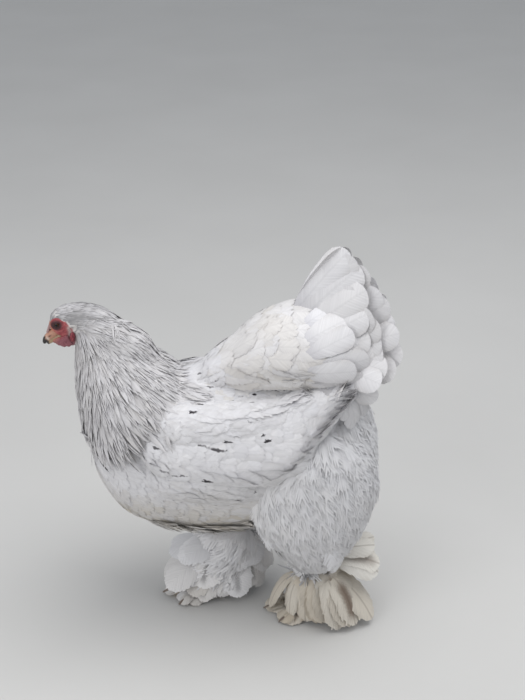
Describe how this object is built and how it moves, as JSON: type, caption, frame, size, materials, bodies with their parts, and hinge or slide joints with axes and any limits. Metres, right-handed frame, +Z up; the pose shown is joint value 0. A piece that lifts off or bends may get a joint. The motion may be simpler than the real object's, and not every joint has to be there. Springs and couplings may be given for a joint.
{
  "type": "brahma hen",
  "caption": "Pale Brahma hen, life size, standing still in mid-stride with lowered head, raised tail and feathered feet.",
  "frame": {"origin": "on the floor, under the middle of the hen's outline seen from above", "axes": "+Z up; +X from the bill to the tail; +Y to the hen's right side"},
  "size_m": [0.4704, 0.2488, 0.5456],
  "materials": {
    "plumage": "soft overlapping white feathers with grey flecks",
    "hackle": "narrow silver feathers with grey streaks",
    "fluff": "loose downy white feathers",
    "boots": "cream foot feathers with brown shafts",
    "skin": "red wrinkled bare skin",
    "horn": "dark horn of bill and claws",
    "scale": "yellow scaled skin of the toes",
    "eye": "glossy wet eye"
  },
  "bodies": {
    "root": {"bill_lower": "horn", "bill_upper": "horn", "claw_left_hind": "horn", "claw_left_inner": "horn", "claw_left_middle": "horn", "claw_left_outer": "horn", "claw_right_hind": "horn", "claw_right_inner": "horn", "claw_right_middle": "horn", "claw_right_outer": "horn", "comb": "skin", "ear_lobe_left": "skin", "ear_lobe_right": "skin", "eye_left": "eye", "eye_right": "eye", "fluff": "fluff", "foot_left": "scale", "foot_right": "scale", "head": "skin", "neck": "hackle", "saddle": "plumage", "shank_left": "boots", "shank_right": "boots", "tail": "plumage", "thigh_left": "fluff", "thigh_right": "fluff", "torso": "plumage", "wattle_left": "skin", "wattle_right": "skin", "wing_left": "plumage", "wing_right": "plumage"}
  },
  "joints": []
}
